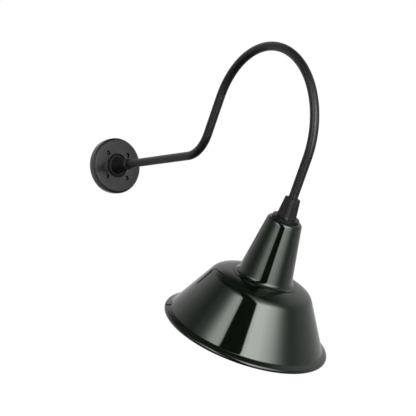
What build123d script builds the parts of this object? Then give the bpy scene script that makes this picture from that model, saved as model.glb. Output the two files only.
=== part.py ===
from build123d import *
import os
from math import asin, atan2, cos, degrees, hypot, radians, sin, tan

# Gooseneck wall sconce: a cast wall canopy with a turning hub, a bent tube arm, a cast lamp
# fitter, an enamelled shade with a tall neck and a foot ring, and a porcelain lampholder with
# its lamp.
# The origin is the centre of the gasket's back, on the wall. +Z is up, and the arm reaches
# out along -Y in the plane X = 0. Sizes are in millimetres.
# Wall-end pieces are placed by h, the distance in front of the wall. Shade-end pieces are
# placed by u, the distance past the end of the arch along the axis of the shade.

# ---- driving dimensions: wall end -------------------------------------------------------
canopy_radius = 66.3
canopy_front = 19.2  # wall to front face
canopy_skin = 3.5
canopy_bevel = 4.3  # width of the bevel on the front face
canopy_bevel_depth = 3.4
gasket_thickness = 1.5
gasket_width = 3.4
plate_radius = 55.0
plate_thickness = 2.0
plate_opening = 24.0
box_pitch = 88.9  # screw spacing of a round outlet box
box_slot_length = 11.0
box_slot_width = 5.0
screw_pitch = 55.0  # side of the square of canopy screws
screw_radius = 2.0
screw_head = 4.0
screw_head_height = 2.4
screw_recess = 5.5
screw_recess_depth = 6.3
screw_boss = 7.5
screw_boss_back = 9.0
nut_height = 3.2
earth_drop = 40.0

# ---- driving dimensions: hub ------------------------------------------------------------
seat_radius = 28.4
seat_depth = 2.8
seat_land = 24.3  # outside of the land the washer lies on
seat_groove_floor = 13.4  # bottom of the groove round the land
pad_back = 11.4  # back of the thick pad behind the seat
pad_radius = 31.0
hub_bore = 16.0
hub_running_gap = 0.08
hub_end = 5.6  # inner end of the hub and of the arm
hub_flange = 24.0
hub_flange_top = 21.4
hub_root = 20.2
hub_nose = 13.5
hub_nose_end = 54.0
washer_thickness = 1.0
face_gap = 0.1  # between parts that turn on each other
collar_radius = 13.3
collar_groove = 12.0
collar_end = 71.4
set_screw_radius = 2.5
set_screw_at = 33.0

# ---- driving dimensions: arm ------------------------------------------------------------
arm_radius = 9.65  # three-quarter-inch tube with its powder coat
arm_bore = 8.05
arm_run = 310.0  # wall to the first bend
bend_radius = 81.1
bend_angle = 61.8
rise_length = 88.2
arch_radius = 170.8
arch_angle = 179.4
arm_drop = 112.0  # straight length past the arch, into the fitter
wire_radius = 1.2
wire_spacing = 3.0
wire_start = 2.6

# ---- driving dimensions: fitter ---------------------------------------------------------
fitter_top = 87.2
fitter_base = 129.0
fitter_top_side = 25.9
fitter_base_side = 33.4
fitter_corner = 3.55
fitter_turn = -7.0  # where the thread came tight
fitter_flange = 28.6
fitter_flange_end = 133.2
spigot_radius = 22.0
spigot_end = 141.0
chamber_radius = 18.5
chamber_top = 131.0
throat_radius = 12.0
throat_top = 114.0
holder_screw_offset = 17.8
fitter_screw_at = 98.0

# ---- driving dimensions: shade ----------------------------------------------------------
sheet = 1.3  # steel with its enamel
neck_top = 134.6
neck_top_radius = 36.25
neck_slope = 0.1676
neck_shoulder = 8.0
neck_end = 256.0  # weld between the neck and its foot ring
foot_corner = 265.63
foot_round = 9.0
foot_radius = 68.5
foot_slope = 0.0905
roof_hole = 50.0
roof_at = 267.0  # top of the skirt, where its roof is level
roof_level_radius = 54.0
roof_round = 105.0
roof_angle = 25.3  # lean of the roof where the shoulder starts
shoulder_round = 26.6
wall_angle = 60.1
skirt_end_radius = 165.2
flare_round = 4.0
bead_radius = 4.7
bead_centre_radius = 172.9
bead_centre_at = 391.9

# ---- driving dimensions: lampholder and lamp --------------------------------------------
holder_radius = 21.9
holder_mouth = 189.0
holder_floor = 160.5
shell_radius = 14.6
thread_pitch = 3.63  # seven turns to the inch
lamp_tip = 163.0
cap_radius = 12.6
cap_end = 188.0
globe_radius = 30.0
globe_at = 240.0
glass_thickness = 0.8


def in_front(h):
    """A plane parallel to the wall, looking out from it."""
    return Plane(origin=(0, -h, 0), x_dir=(1, 0, 0), z_dir=(0, -1, 0))


def arm_route(side, start, drop):
    """The arm's centreline, shifted sideways, from start to drop past the arch."""
    with BuildLine(Plane(origin=(side, 0, 0), x_dir=(0, -1, 0), z_dir=(-1, 0, 0))) as route:
        run = Line((start, 0), (arm_run, 0))
        bend = JernArc(start=run @ 1, tangent=run % 1, radius=bend_radius, arc_size=bend_angle)
        rise = PolarLine(start=bend @ 1, length=rise_length, direction=bend % 1)
        arch = JernArc(start=rise @ 1, tangent=rise % 1, radius=arch_radius, arc_size=-arch_angle)
        PolarLine(start=arch @ 1, length=drop, direction=arch % 1)
    return route.wire()


arm_axis = arm_route(0, hub_end, arm_drop)
down = arm_axis % 1
arch_end = (arm_axis @ 1) - down * arm_drop
wall_axis = Axis((0, 0, 0), (0, -1, 0))
shade_axis = Axis(arch_end, down)


def across(u):
    """A plane square to the shade's axis: x is the world's X, y points away from the wall."""
    return Plane(origin=arch_end + down * u, x_dir=(1, 0, 0), z_dir=down)


# Half planes for turned pieces: x is the radius, y runs along h or u.
wall_section = Plane(origin=(0, 0, 0), x_dir=(1, 0, 0), z_dir=(0, 0, -1))
shade_section = Plane(origin=arch_end, x_dir=across(0).y_dir, z_dir=(1, 0, 0))

# ==== wall end ===========================================================================

# Pressed steel plate that screws to the outlet box behind the canopy.
with BuildPart() as mounting_plate:
    with BuildSketch(in_front(0)):
        Circle(plate_radius)
        Circle(plate_opening, mode=Mode.SUBTRACT)
        with GridLocations(box_pitch, 0, 2, 1):
            SlotOverall(box_slot_length, box_slot_width, mode=Mode.SUBTRACT)
        with GridLocations(screw_pitch, screw_pitch, 2, 2):
            Circle(screw_radius + 0.4, mode=Mode.SUBTRACT)
        with Locations((0, -earth_drop)):
            Circle(screw_radius, mode=Mode.SUBTRACT)
    extrude(amount=plate_thickness)
mounting_plate.part.label = "mounting_plate"
export_step(mounting_plate.part, "parts/mounting_plate.step")

# Four hexagon nuts welded to the plate, which the canopy screws pull on.
with BuildPart() as weld_nuts:
    with BuildSketch(in_front(plate_thickness)):
        with GridLocations(screw_pitch, screw_pitch, 2, 2):
            RegularPolygon(radius=4.05, side_count=6)
            Circle(screw_radius, mode=Mode.SUBTRACT)
    extrude(amount=nut_height)
weld_nuts.part.label = "weld_nuts"
export_step(weld_nuts.part, "parts/weld_nuts.step")

# Green hexagon earthing screw in the plate.
with BuildPart() as earth_screw:
    with BuildSketch(in_front(0.2)):
        with Locations((0, -earth_drop)):
            Circle(screw_radius)
    extrude(amount=plate_thickness - 0.2)
    with BuildSketch(in_front(plate_thickness)):
        with Locations((0, -earth_drop)):
            RegularPolygon(radius=4.6, side_count=6)
    extrude(amount=3.0)
    with BuildSketch(in_front(plate_thickness + 3.0)):
        with Locations((0, -earth_drop)):
            Rectangle(7.0, 1.1)
    extrude(amount=-1.2, mode=Mode.SUBTRACT)
earth_screw.part.label = "earth_screw"
export_step(earth_screw.part, "parts/earth_screw.step")

# Ring of closed-cell foam between the canopy's rim and the wall.
with BuildPart() as wall_gasket:
    with BuildSketch(in_front(0)):
        Circle(canopy_radius - 0.4)
        Circle(canopy_radius - 0.4 - gasket_width, mode=Mode.SUBTRACT)
    extrude(amount=gasket_thickness)
wall_gasket.part.label = "wall_gasket"
export_step(wall_gasket.part, "parts/wall_gasket.step")

# Cast canopy: a shallow cup with four deep screw recesses in their bosses, and a turned seat
# for the hub with a groove round it.
canopy_inside = canopy_front - canopy_skin
seat_floor = canopy_front - seat_depth
with BuildPart() as canopy:
    with BuildSketch(in_front(gasket_thickness)):
        Circle(canopy_radius)
    extrude(amount=canopy_front - gasket_thickness)
    front_face = canopy.faces().sort_by(Axis.Y)[0]
    chamfer(front_face.edges(), canopy_bevel, canopy_bevel_depth, reference=front_face)
    with BuildSketch(in_front(gasket_thickness)):
        Circle(canopy_radius - canopy_skin)
    extrude(amount=canopy_inside - gasket_thickness, mode=Mode.SUBTRACT)
    with BuildSketch(in_front(pad_back)):
        Circle(pad_radius)
    extrude(amount=canopy_inside - pad_back)
    with BuildSketch(in_front(screw_boss_back)):
        with GridLocations(screw_pitch, screw_pitch, 2, 2):
            Circle(screw_boss)
    extrude(amount=canopy_inside - screw_boss_back)
    with BuildSketch(in_front(seat_floor)):
        Circle(seat_radius)
    extrude(amount=seat_depth, mode=Mode.SUBTRACT)
    with BuildSketch(in_front(seat_groove_floor)):
        Circle(seat_radius)
        Circle(seat_land, mode=Mode.SUBTRACT)
    extrude(amount=seat_floor - seat_groove_floor, mode=Mode.SUBTRACT)
    seat_lip = canopy.edges().filter_by(GeomType.CIRCLE).group_by(Axis.Y)[0]
    fillet(seat_lip.sort_by(SortBy.RADIUS)[0], 0.8)
    with Locations(in_front(canopy_front)):
        Hole(radius=hub_bore)
        with GridLocations(screw_pitch, screw_pitch, 2, 2):
            CounterBoreHole(screw_radius + 0.3, screw_recess, screw_recess_depth)
canopy.part.label = "canopy"
export_step(canopy.part, "parts/canopy.step")

# Four pan-head canopy screws, seated in the recesses and run into the welded nuts.
head_seat = canopy_front - screw_recess_depth
with BuildPart() as canopy_screws:
    with BuildSketch(in_front(head_seat)):
        with GridLocations(screw_pitch, screw_pitch, 2, 2):
            Circle(screw_head)
    extrude(amount=screw_head_height)
    fillet(canopy_screws.edges().filter_by(GeomType.CIRCLE).group_by(Axis.Y)[0], 1.1)
    with BuildSketch(in_front(plate_thickness - 1.2)):
        with GridLocations(screw_pitch, screw_pitch, 2, 2):
            Circle(screw_radius)
    extrude(amount=head_seat - plate_thickness + 1.2)
    with BuildSketch(in_front(head_seat + screw_head_height)):
        with GridLocations(screw_pitch, screw_pitch, 2, 2):
            Rectangle(4.4, 1.0)
            Rectangle(1.0, 4.4)
    extrude(amount=-1.3, mode=Mode.SUBTRACT)
canopy_screws.part.label = "canopy_screws"
export_step(canopy_screws.part, "parts/canopy_screws.step")

# Fibre washer that the hub's flange turns on.
with BuildPart() as hub_washer:
    with BuildSketch(in_front(seat_floor)):
        Circle(hub_flange - 0.6)
        Circle(hub_bore + 0.4, mode=Mode.SUBTRACT)
    extrude(amount=washer_thickness)
hub_washer.part.label = "hub_washer"
export_step(hub_washer.part, "parts/hub_washer.step")

# ==== hub and arm ========================================================================

# Cast hub: a spigot that turns in the canopy, a flange, and a tapered nose round the arm.
hub_flange_back = seat_floor + washer_thickness + face_gap
spigot_fit = hub_bore - hub_running_gap
set_screw_plane = Plane(origin=(0, -set_screw_at, 0), x_dir=(1, 0, 0), z_dir=(0, 0, -1))
with BuildPart() as hub:
    with BuildSketch(wall_section):
        with BuildLine():
            Polyline(
                (arm_radius, hub_end),
                (spigot_fit, hub_end),
                (spigot_fit, hub_flange_back),
                (hub_flange, hub_flange_back),
                (hub_flange, hub_flange_top),
                (hub_root, hub_flange_top),
                (hub_nose, hub_nose_end),
                (arm_radius, hub_nose_end),
                close=True,
            )
        make_face()
    revolve(axis=wall_axis)
    flange_edges = hub.edges().filter_by(GeomType.CIRCLE).group_by(SortBy.RADIUS)[-1]
    fillet(flange_edges.sort_by(Axis.Y)[0], 0.5)
    with BuildSketch(set_screw_plane):
        Circle(set_screw_radius)
    extrude(amount=hub_flange, mode=Mode.SUBTRACT)
hub.part.label = "hub"
export_step(hub.part, "parts/hub.step")

# Hexagon-socket set screw that bites on the underside of the arm.
with BuildPart() as hub_set_screw:
    with BuildSketch(set_screw_plane.offset(arm_radius)):
        Circle(set_screw_radius)
    extrude(amount=6.0)
    with BuildSketch(set_screw_plane.offset(arm_radius + 6.0)):
        RegularPolygon(radius=1.4, side_count=6)
    extrude(amount=-3.0, mode=Mode.SUBTRACT)
hub_set_screw.part.label = "hub_set_screw"
export_step(hub_set_screw.part, "parts/hub_set_screw.step")

# Spring washer behind the canopy, which keeps the hub's turn stiff.
spring_front = pad_back - face_gap
spring_back = spring_front - 1.2
with BuildPart() as spring_washer:
    with BuildSketch(in_front(spring_back)):
        Circle(21.0)
        Circle(spigot_fit, mode=Mode.SUBTRACT)
    extrude(amount=spring_front - spring_back)
spring_washer.part.label = "spring_washer"
export_step(spring_washer.part, "parts/spring_washer.step")

# Thin hexagon nut on the hub's threaded spigot.
with BuildPart() as hub_nut:
    with BuildSketch(in_front(spring_back - 4.0)):
        RegularPolygon(radius=22.5, side_count=6)
        Circle(spigot_fit, mode=Mode.SUBTRACT)
    extrude(amount=4.0)
    chamfer(hub_nut.faces().sort_by(Axis.Y)[-1].outer_wire().edges(), 0.6)
hub_nut.part.label = "hub_nut"
export_step(hub_nut.part, "parts/hub_nut.step")

# Lock collar against the hub's nose, with a turned groove at each end.
with BuildPart() as arm_lock_collar:
    with BuildSketch(wall_section):
        with BuildLine():
            Polyline(
                (arm_radius, hub_nose_end),
                (collar_groove, hub_nose_end),
                (collar_groove, hub_nose_end + 2.8),
                (collar_radius, hub_nose_end + 3.4),
                (collar_radius, collar_end - 4.2),
                (collar_groove, collar_end - 3.6),
                (collar_groove, collar_end - 1.4),
                (collar_groove + 0.6, collar_end - 1.1),
                (collar_groove, collar_end),
                (arm_radius, collar_end),
                close=True,
            )
        make_face()
    revolve(axis=wall_axis)
arm_lock_collar.part.label = "arm_lock_collar"
export_step(arm_lock_collar.part, "parts/arm_lock_collar.step")

# The gooseneck: one tube with two bends.
with BuildPart() as arm_tube:
    with BuildSketch(in_front(hub_end)):
        Circle(arm_radius)
        Circle(arm_bore, mode=Mode.SUBTRACT)
    sweep(path=arm_axis)
arm_tube.part.label = "arm_tube"
export_step(arm_tube.part, "parts/arm_tube.step")

# Plastic bushing that keeps the wires off the tube's cut end.
with BuildPart() as arm_bushing:
    with BuildSketch(in_front(hub_end)):
        Circle(arm_bore)
        Circle(5.5, mode=Mode.SUBTRACT)
    extrude(amount=9.0)
    with BuildSketch(in_front(hub_end - 1.4)):
        Circle(arm_radius - 0.1)
        Circle(5.5, mode=Mode.SUBTRACT)
    extrude(amount=1.4)
arm_bushing.part.label = "arm_bushing"
export_step(arm_bushing.part, "parts/arm_bushing.step")

# Three insulated wires side by side in the tube. Past its end each one bends aside to its
# terminal: the tail's points are its distance off the axis and u.
terminal_offset = 12.0
plate_top = spigot_end - 1.0
side_tail = [(wire_spacing, 118.0), (11.4, 135.0), (11.4, plate_top)]
earth_tail = [(0, 115.0), (9.4, 121.5), (9.4, chamber_top)]
wire_runs = {
    "wire_black": (-wire_spacing, 180, side_tail),
    "wire_white": (wire_spacing, 0, side_tail),
    "wire_green": (0, 45, earth_tail),
}
for wire_name, (side, turn, tail) in wire_runs.items():
    aside = across(0).x_dir * cos(radians(turn)) + across(0).y_dir * sin(radians(turn))
    tail_section = Plane(origin=arch_end, x_dir=aside, z_dir=aside.cross(down))
    with BuildPart() as wire:
        with BuildSketch(Plane(origin=(side, -wire_start, 0), x_dir=(1, 0, 0), z_dir=(0, -1, 0))):
            Circle(wire_radius)
        sweep(path=arm_route(side, wire_start, arm_drop))
        with BuildLine(tail_section) as tail_route:
            FilletPolyline((abs(side), arm_drop), *tail, radius=4.0)
        with BuildSketch(Plane(origin=tail_route.wire() @ 0, x_dir=(1, 0, 0), z_dir=down)):
            Circle(wire_radius)
        sweep(path=tail_route.wire())
    wire.part.label = wire_name
    export_step(wire.part, f"parts/{wire_name}.step")

# Stripped copper ends of the three wires, ready for connectors in the outlet box.
with BuildPart() as wire_ends:
    with BuildSketch(in_front(0.5)):
        with GridLocations(wire_spacing, 0, 3, 1):
            Circle(0.6)
    extrude(amount=wire_start - 0.5)
wire_ends.part.label = "wire_ends"
export_step(wire_ends.part, "parts/wire_ends.step")

# ==== lamp fitter ========================================================================

# Cast fitter: a four-sided taper with broad corners, a round flange and a hollow spigot
# that passes into the shade.
fitter_screw_plane = across(fitter_screw_at)
facet = fitter_screw_plane.y_dir.rotate(Axis((0, 0, 0), down), fitter_turn) * -1
grub_plane = Plane(origin=fitter_screw_plane.origin, x_dir=down, z_dir=facet)
with BuildPart() as fitter:
    for station, side in ((fitter_top, fitter_top_side), (fitter_base, fitter_base_side)):
        with BuildSketch(across(station)) as outline:
            Rectangle(side, side, rotation=fitter_turn)
            chamfer(outline.vertices(), fitter_corner)
    loft()
    fillet(fitter.faces().sort_by(shade_axis)[0].edges(), 0.9)
    with BuildSketch(across(fitter_base)):
        Circle(fitter_flange)
    extrude(amount=fitter_flange_end - fitter_base)
    rim = fitter.edges().filter_by(GeomType.CIRCLE).group_by(SortBy.RADIUS)[-1]
    fillet(rim, 1.2)
    with BuildSketch(across(fitter_flange_end)):
        Circle(spigot_radius)
    extrude(amount=spigot_end - fitter_flange_end)
    with BuildSketch(across(fitter_top)):
        Circle(arm_radius)
    extrude(amount=arm_drop - fitter_top, mode=Mode.SUBTRACT)
    with BuildSketch(across(arm_drop)):
        Circle(arm_bore)
    extrude(amount=throat_top - arm_drop, mode=Mode.SUBTRACT)
    with BuildSketch(across(throat_top)):
        Circle(throat_radius)
    extrude(amount=chamber_top - throat_top, mode=Mode.SUBTRACT)
    with BuildSketch(across(chamber_top)):
        Circle(chamber_radius)
    extrude(amount=spigot_end - chamber_top, mode=Mode.SUBTRACT)
    with BuildSketch(across(chamber_top)):
        with GridLocations(0, 2 * holder_screw_offset, 1, 2):
            Circle(3.8)
    extrude(amount=spigot_end - chamber_top)
    with BuildSketch(across(spigot_end)):
        with GridLocations(0, 2 * holder_screw_offset, 1, 2):
            Circle(1.6)
    extrude(amount=-10.0, mode=Mode.SUBTRACT)
    with BuildSketch(across(chamber_top)):
        with Locations((10.5, 10.5)):
            Circle(1.5)
    extrude(amount=-2.0, mode=Mode.SUBTRACT)
    with BuildSketch(grub_plane):
        Circle(set_screw_radius)
    extrude(amount=fitter_flange, mode=Mode.SUBTRACT)
fitter.part.label = "fitter"
export_step(fitter.part, "parts/fitter.step")

# Set screw in the wall side of the fitter, which locks it on the arm.
with BuildPart() as fitter_set_screw:
    with BuildSketch(grub_plane.offset(arm_radius)):
        Circle(set_screw_radius)
    extrude(amount=4.2)
    with BuildSketch(grub_plane.offset(arm_radius + 4.2)):
        RegularPolygon(radius=1.4, side_count=6)
    extrude(amount=-2.5, mode=Mode.SUBTRACT)
fitter_set_screw.part.label = "fitter_set_screw"
export_step(fitter_set_screw.part, "parts/fitter_set_screw.step")

# Rubber gasket between the fitter's flange and the top of the neck.
with BuildPart() as fitter_gasket:
    with BuildSketch(across(fitter_flange_end)):
        Circle(spigot_radius + 5.0)
        Circle(spigot_radius, mode=Mode.SUBTRACT)
    extrude(amount=neck_top - fitter_flange_end)
fitter_gasket.part.label = "fitter_gasket"
export_step(fitter_gasket.part, "parts/fitter_gasket.step")

# Notched ring nut on the spigot, which clamps the neck from inside.
ring_top = neck_top + sheet + 0.1
ring_end = ring_top + 4.6
with BuildPart() as shade_lock_ring:
    with BuildSketch(shade_section):
        with BuildLine():
            Polyline(
                (spigot_radius, ring_top),
                (spigot_radius + 2.4, ring_top),
                (spigot_radius + 7.0, ring_top + 1.7),
                (spigot_radius + 7.0, ring_end),
                (spigot_radius, ring_end),
                close=True,
            )
        make_face()
    revolve(axis=shade_axis)
    with BuildSketch(across(ring_end)):
        with PolarLocations(spigot_radius + 7.0, 6):
            Rectangle(5.0, 5.0)
    extrude(amount=-6.0, mode=Mode.SUBTRACT)
shade_lock_ring.part.label = "shade_lock_ring"
export_step(shade_lock_ring.part, "parts/shade_lock_ring.step")

# Earth lug and green screw on the ceiling of the fitter's chamber.
with BuildPart() as earth_lug:
    with BuildSketch(across(chamber_top)):
        with Locations((10.5, 10.5)):
            Circle(3.2)
        with Locations(Location((8.6, 8.6), 45)):
            Rectangle(7.0, 3.0)
        with Locations((10.5, 10.5)):
            Circle(1.5, mode=Mode.SUBTRACT)
    extrude(amount=0.8)
earth_lug.part.label = "earth_lug"
export_step(earth_lug.part, "parts/earth_lug.step")

with BuildPart() as earth_lug_screw:
    with BuildSketch(across(chamber_top - 2.0)):
        with Locations((10.5, 10.5)):
            Circle(1.5)
    extrude(amount=2.8)
    with BuildSketch(across(chamber_top + 0.8)):
        with Locations((10.5, 10.5)):
            RegularPolygon(radius=2.8, side_count=6)
    extrude(amount=2.2)
earth_lug_screw.part.label = "earth_lug_screw"
export_step(earth_lug_screw.part, "parts/earth_lug_screw.step")

# ==== shade ==============================================================================

# Pressed neck: flat top with a hole for the spigot, rounded shoulder and long cone.
neck_end_radius = neck_top_radius + neck_slope * (neck_end - neck_top)
with BuildPart() as shade_neck:
    with BuildSketch(shade_section):
        with BuildLine():
            FilletPolyline(
                (spigot_radius + 0.3, neck_top),
                (neck_top_radius, neck_top),
                (neck_end_radius, neck_end),
                radius=neck_shoulder,
            )
            offset(amount=sheet, side=Side.LEFT)
        make_face()
    revolve(axis=shade_axis)
shade_neck.part.label = "shade_neck"
export_step(shade_neck.part, "parts/shade_neck.step")

# Foot ring, butt-welded to the end of the cone before enamelling. It curves out into a
# flange that lies on the roof of the skirt.
foot_corner_radius = neck_top_radius + neck_slope * (foot_corner - neck_top)
foot_end = foot_corner + foot_slope * (foot_radius - foot_corner_radius)
with BuildPart() as shade_neck_foot:
    with BuildSketch(shade_section):
        with BuildLine():
            FilletPolyline(
                (neck_end_radius, neck_end),
                (foot_corner_radius, foot_corner),
                (foot_radius, foot_end),
                radius=foot_round,
            )
            offset(amount=sheet, side=Side.LEFT)
        make_face()
    revolve(axis=shade_axis)
shade_neck_foot.part.label = "shade_neck_foot"
export_step(shade_neck_foot.part, "parts/shade_neck_foot.step")

# Spun skirt: a domed roof, rounded shoulder, straight wall, a short flare and a rolled bead.
# The shoulder ends where the wall starts, and the flare runs tangent to the bead.
roof_end_radius = roof_level_radius + roof_round * sin(radians(roof_angle))
roof_end_at = roof_at + roof_round * (1 - cos(radians(roof_angle)))
shoulder_turn = (sin(radians(wall_angle)) - sin(radians(roof_angle))) * shoulder_round
shoulder_fall = (cos(radians(roof_angle)) - cos(radians(wall_angle))) * shoulder_round
wall_start = (roof_end_radius + shoulder_turn, roof_end_at + shoulder_fall)
skirt_end_at = wall_start[1] + (skirt_end_radius - wall_start[0]) * tan(radians(wall_angle))
to_bead = hypot(bead_centre_radius - skirt_end_radius, bead_centre_at - skirt_end_at)
to_bead_angle = degrees(atan2(bead_centre_at - skirt_end_at, bead_centre_radius - skirt_end_radius))
flare_angle = to_bead_angle - degrees(asin(bead_radius / to_bead))
flare_length = to_bead * cos(asin(bead_radius / to_bead))
flare_end_radius = skirt_end_radius + flare_length * cos(radians(flare_angle))
flare_end_at = skirt_end_at + flare_length * sin(radians(flare_angle))
with BuildPart() as shade_skirt:
    with BuildSketch(shade_section):
        with BuildLine():
            level = Line((roof_hole, roof_at), (roof_level_radius, roof_at))
            roof = JernArc(start=level @ 1, tangent=level % 1, radius=roof_round, arc_size=roof_angle)
            JernArc(
                start=roof @ 1,
                tangent=roof % 1,
                radius=shoulder_round,
                arc_size=wall_angle - roof_angle,
            )
            skirt_line = FilletPolyline(
                wall_start,
                (skirt_end_radius, skirt_end_at),
                (flare_end_radius, flare_end_at),
                radius=flare_round,
            )
            JernArc(start=skirt_line @ 1, tangent=skirt_line % 1, radius=bead_radius, arc_size=265)
            offset(amount=sheet, side=Side.LEFT)
        make_face()
    revolve(axis=shade_axis)
shade_skirt.part.label = "shade_skirt"
export_step(shade_skirt.part, "parts/shade_skirt.step")

# ==== lampholder =========================================================================

# Porcelain body, open at the mouth, screwed up against the fitter's spigot.
with BuildPart() as lampholder_body:
    with BuildSketch(across(spigot_end)):
        Circle(holder_radius)
    extrude(amount=holder_mouth - spigot_end)
    chamfer(lampholder_body.edges().filter_by(GeomType.CIRCLE).sort_by(shade_axis)[-1], 1.0)
    with BuildSketch(across(holder_mouth)):
        Circle(shell_radius + 0.1)
    extrude(amount=holder_floor - holder_mouth, mode=Mode.SUBTRACT)
    with BuildSketch(across(holder_mouth)):
        with GridLocations(0, 2 * holder_screw_offset, 1, 2):
            Circle(2.9)
    extrude(amount=-3.0, mode=Mode.SUBTRACT)
    with BuildSketch(across(holder_mouth)):
        with GridLocations(0, 2 * holder_screw_offset, 1, 2):
            Circle(1.7)
    extrude(amount=spigot_end - holder_mouth, mode=Mode.SUBTRACT)
    with BuildSketch(across(spigot_end)):
        with Locations((-terminal_offset, -5.0), (terminal_offset, -5.0)):
            Circle(1.5)
    extrude(amount=6.0, mode=Mode.SUBTRACT)
lampholder_body.part.label = "lampholder_body"
export_step(lampholder_body.part, "parts/lampholder_body.step")

# Two long screws through the porcelain into the fitter.
with BuildPart() as lampholder_screws:
    with BuildSketch(across(spigot_end - 10.0)):
        with GridLocations(0, 2 * holder_screw_offset, 1, 2):
            Circle(1.6)
    extrude(amount=holder_mouth - 3.0 - spigot_end + 10.0)
    with BuildSketch(across(holder_mouth - 3.0)):
        with GridLocations(0, 2 * holder_screw_offset, 1, 2):
            Circle(2.7)
    extrude(amount=2.0)
    with BuildSketch(across(holder_mouth - 1.0)):
        with GridLocations(0, 2 * holder_screw_offset, 1, 2):
            Rectangle(5.6, 0.8)
    extrude(amount=-0.9, mode=Mode.SUBTRACT)
lampholder_screws.part.label = "lampholder_screws"
export_step(lampholder_screws.part, "parts/lampholder_screws.step")

# Brass terminal plates on the porcelain's top, and their screws.
with BuildPart() as terminal_plates:
    with BuildSketch(across(plate_top)):
        with Locations((-terminal_offset, -2.5), (terminal_offset, -2.5)):
            Rectangle(8.0, 12.0)
        with Locations((-terminal_offset, -5.0), (terminal_offset, -5.0)):
            Circle(1.5, mode=Mode.SUBTRACT)
    extrude(amount=1.0)
terminal_plates.part.label = "terminal_plates"
export_step(terminal_plates.part, "parts/terminal_plates.step")

with BuildPart() as terminal_screws:
    with BuildSketch(across(plate_top - 2.2)):
        with Locations((-terminal_offset, -5.0), (terminal_offset, -5.0)):
            Circle(3.0)
    extrude(amount=2.2)
    with BuildSketch(across(plate_top - 2.2)):
        with Locations((-terminal_offset, -5.0), (terminal_offset, -5.0)):
            Rectangle(6.2, 0.9)
    extrude(amount=1.0, mode=Mode.SUBTRACT)
    with BuildSketch(across(plate_top)):
        with Locations((-terminal_offset, -5.0), (terminal_offset, -5.0)):
            Circle(1.5)
    extrude(amount=6.5)
terminal_screws.part.label = "terminal_screws"
export_step(terminal_screws.part, "parts/terminal_screws.step")

# Screw shell of the lampholder. The rolled thread is drawn as rings.
with BuildPart() as lampholder_shell:
    with BuildSketch(shade_section):
        with Locations((shell_radius - 0.25, (holder_floor + cap_end) / 2)):
            Rectangle(0.5, cap_end - holder_floor)
        with Locations(((shell_radius + 6.5) / 2, holder_floor + 0.25)):
            Rectangle(shell_radius - 6.5, 0.5)
        for turn in range(6):
            with Locations((shell_radius - 0.5, holder_floor + 4.6 + turn * thread_pitch)):
                Circle(0.6)
    revolve(axis=shade_axis)
lampholder_shell.part.label = "lampholder_shell"
export_step(lampholder_shell.part, "parts/lampholder_shell.step")

# Brass centre contact on the lampholder's floor.
with BuildPart() as centre_contact:
    with BuildSketch(shade_section):
        with BuildLine():
            Polyline(
                (0, holder_floor),
                (3.6, holder_floor),
                (3.6, holder_floor + 0.8),
                (1.9, lamp_tip - face_gap),
                (0, lamp_tip - face_gap),
                close=True,
            )
        make_face()
    revolve(axis=shade_axis)
centre_contact.part.label = "centre_contact"
export_step(centre_contact.part, "parts/centre_contact.step")

# ==== lamp ===============================================================================

# Glass envelope of the lamp: a solid of revolution, hollowed by the same outline drawn inside it.
glass_foot = cap_radius - 0.5
glass_neck = 13.4
glass_neck_at = 196.0
with BuildPart() as lamp_glass:
    for inset, mode in ((0, Mode.ADD), (glass_thickness, Mode.SUBTRACT)):
        ball = globe_radius - inset
        neck = glass_neck - inset
        reach = hypot(neck, globe_at - glass_neck_at)
        lean = degrees(atan2(globe_at - glass_neck_at, -neck)) - degrees(asin(ball / reach))
        cone = reach * cos(asin(ball / reach))
        cone_end = (neck + cone * cos(radians(lean)), glass_neck_at + cone * sin(radians(lean)))
        with BuildSketch(shade_section):
            with BuildLine():
                foot = (glass_foot - inset, 183.0 + inset)
                waist = (glass_foot - inset, 189.0)
                base = Line((0, 183.0 + inset), foot)
                side = FilletPolyline(foot, waist, (neck, glass_neck_at), cone_end, radius=(3.0, 12.0))
                dome = JernArc(start=side @ 1, tangent=side % 1, radius=ball, arc_size=180 - lean)
                Line(dome @ 1, base @ 0)
            make_face()
        revolve(axis=shade_axis, mode=mode)
lamp_glass.part.label = "lamp_glass"
export_step(lamp_glass.part, "parts/lamp_glass.step")

# Glass stem that carries the filament.
with BuildPart() as lamp_stem:
    with BuildSketch(shade_section):
        with BuildLine():
            Polyline((0, 183.8), (8.0, 183.8), (4.0, 190.0), (2.6, 208.0), (3.6, 213.0), (0, 213.0), close=True)
        make_face()
    revolve(axis=shade_axis)
lamp_stem.part.label = "lamp_stem"
export_step(lamp_stem.part, "parts/lamp_stem.step")

# Filament on its two lead wires.
with BuildPart() as lamp_filament:
    with BuildLine(Plane(origin=arch_end, x_dir=(1, 0, 0), z_dir=across(0).y_dir * -1)) as filament_route:
        FilletPolyline(
            (-2.2, 213.0), (-2.2, 216.0), (-12.0, 236.0), (12.0, 236.0), (2.2, 216.0), (2.2, 213.0), radius=1.5
        )
    with BuildSketch(Plane(origin=filament_route.wire() @ 0, z_dir=filament_route.wire() % 0)):
        Circle(0.4)
    sweep(path=filament_route.wire())
lamp_filament.part.label = "lamp_filament"
export_step(lamp_filament.part, "parts/lamp_filament.step")

# Rolled screw cap. The thread is drawn as rings, with running room in the shell.
with BuildPart() as lamp_cap:
    with BuildSketch(shade_section):
        with BuildLine():
            Polyline(
                (6.0, 166.0),
                (9.0, 166.0),
                (cap_radius, 168.5),
                (cap_radius, cap_end),
                (glass_foot, cap_end),
                (glass_foot, 168.8),
                (8.8, 166.6),
                (6.0, 166.6),
                close=True,
            )
        make_face()
        for turn in range(5):
            with Locations((cap_radius, 170.8 + turn * thread_pitch)):
                Circle(0.55)
    revolve(axis=shade_axis)
lamp_cap.part.label = "lamp_cap"
export_step(lamp_cap.part, "parts/lamp_cap.step")

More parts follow.
